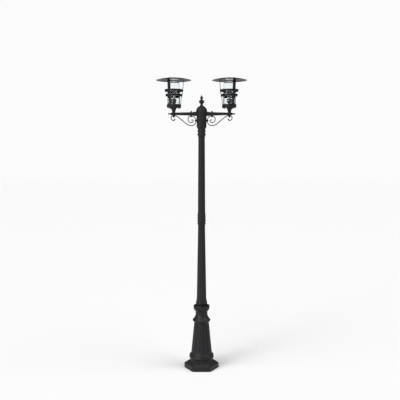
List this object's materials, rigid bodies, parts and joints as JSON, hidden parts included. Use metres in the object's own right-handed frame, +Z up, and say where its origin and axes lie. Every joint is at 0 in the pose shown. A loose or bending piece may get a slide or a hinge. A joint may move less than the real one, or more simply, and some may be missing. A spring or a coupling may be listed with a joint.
{
  "type": "street lamp post",
  "caption": "Garden lamp post: fluted cast pole on a hexagonal plinth, scrolled cross arm, glass lanterns with caged jars under flat hats.",
  "frame": {"origin": "centre of the plinth's underside, on the ground", "axes": "+Z up the pole, +X from the left lantern to the right one, front towards -Y"},
  "size_m": [0.738, 0.284, 2.403],
  "materials": {
    "black_casting_paint": "satin black over a fine cast skin",
    "black_sheet_paint": "satin black on pressed sheet and bar",
    "plain_aluminium": "matt spun",
    "jar_glass": "clear with slight waviness",
    "bulb_glass": "clear",
    "lamp_wire": "drawn wire",
    "brass": "slightly dulled",
    "moulded_black": "moulded, glossy",
    "gasket_rubber": "matt",
    "cable_sheath": "matt",
    "zinc_steel": "zinc plated",
    "terminal_plastic": "moulded"
  },
  "bodies": {
    "post": {"arm_nuts": "zinc_steel", "cage_rivets": "black_sheet_paint", "cup_nuts": "zinc_steel", "dome_cap": "black_casting_paint", "finial": "black_casting_paint", "hub": "black_casting_paint", "left_arm": "black_casting_paint", "left_arm_collar": "black_casting_paint", "left_cup": "black_casting_paint", "left_jar_gasket": "gasket_rubber", "left_lamp_cable": "cable_sheath", "left_lamp_holder": "moulded_black", "left_lower_band": "black_sheet_paint", "left_scroll": "black_casting_paint", "left_socket_contacts": "brass", "left_stem": "black_casting_paint", "left_stem_tube": "zinc_steel", "left_struts": "black_sheet_paint", "left_upper_band": "black_sheet_paint", "lower_shaft": "black_casting_paint", "mid_collar": "black_casting_paint", "neck_collar": "black_casting_paint", "pedestal": "black_casting_paint", "pedestal_crown": "black_casting_paint", "pedestal_set_screws": "zinc_steel", "plinth": "black_casting_paint", "right_arm": "black_casting_paint", "right_arm_collar": "black_casting_paint", "right_cup": "black_casting_paint", "right_jar_gasket": "gasket_rubber", "right_lamp_cable": "cable_sheath", "right_lamp_holder": "moulded_black", "right_lower_band": "black_sheet_paint", "right_scroll": "black_casting_paint", "right_socket_contacts": "brass", "right_stem": "black_casting_paint", "right_stem_tube": "zinc_steel", "right_struts": "black_sheet_paint", "right_upper_band": "black_sheet_paint", "scroll_screws": "black_casting_paint", "stem_nuts": "black_casting_paint", "strut_foot_screws": "black_sheet_paint", "terminal_block": "terminal_plastic", "tie_rod": "zinc_steel", "tie_rod_nut": "zinc_steel", "upper_shaft": "black_casting_paint"},
    "left_hat_lifts": {"left_hat": "black_sheet_paint", "left_hat_shield": "plain_aluminium", "left_hat_screws": "black_sheet_paint"},
    "left_jar_lifts": {"left_glass_jar": "jar_glass"},
    "left_bulb_turns": {"left_bulb_cap": "brass", "left_bulb_envelope": "bulb_glass", "left_bulb_filament": "lamp_wire"},
    "right_hat_lifts": {"right_hat": "black_sheet_paint", "right_hat_shield": "plain_aluminium", "right_hat_screws": "black_sheet_paint"},
    "right_jar_lifts": {"right_glass_jar": "jar_glass"},
    "right_bulb_turns": {"right_bulb_cap": "brass", "right_bulb_envelope": "bulb_glass", "right_bulb_filament": "lamp_wire"}
  },
  "joints": [
    {"name": "left_hat_lift", "type": "slide", "parent": "post", "child": "left_hat_lifts", "axis": [0, 0, 1], "range_m": [0, 0.5]},
    {"name": "left_jar_lift", "type": "slide", "parent": "post", "child": "left_jar_lifts", "axis": [0, 0, 1], "range_m": [0, 0.24]},
    {"name": "left_bulb_unscrew", "type": "hinge", "parent": "post", "child": "left_bulb_turns", "pos_m": [-0.227, 0, 2.214], "axis": [0, 0, 1], "range_deg": [0, 1080]},
    {"name": "right_hat_lift", "type": "slide", "parent": "post", "child": "right_hat_lifts", "axis": [0, 0, 1], "range_m": [0, 0.5]},
    {"name": "right_jar_lift", "type": "slide", "parent": "post", "child": "right_jar_lifts", "axis": [0, 0, 1], "range_m": [0, 0.24]},
    {"name": "right_bulb_unscrew", "type": "hinge", "parent": "post", "child": "right_bulb_turns", "pos_m": [0.227, 0, 2.214], "axis": [0, 0, 1], "range_deg": [0, 1080]}
  ],
  "couplings": [
    {"joint": "left_jar_lift", "follows": "left_hat_lift", "ratio": 0.48},
    {"joint": "right_jar_lift", "follows": "right_hat_lift", "ratio": 0.48}
  ]
}
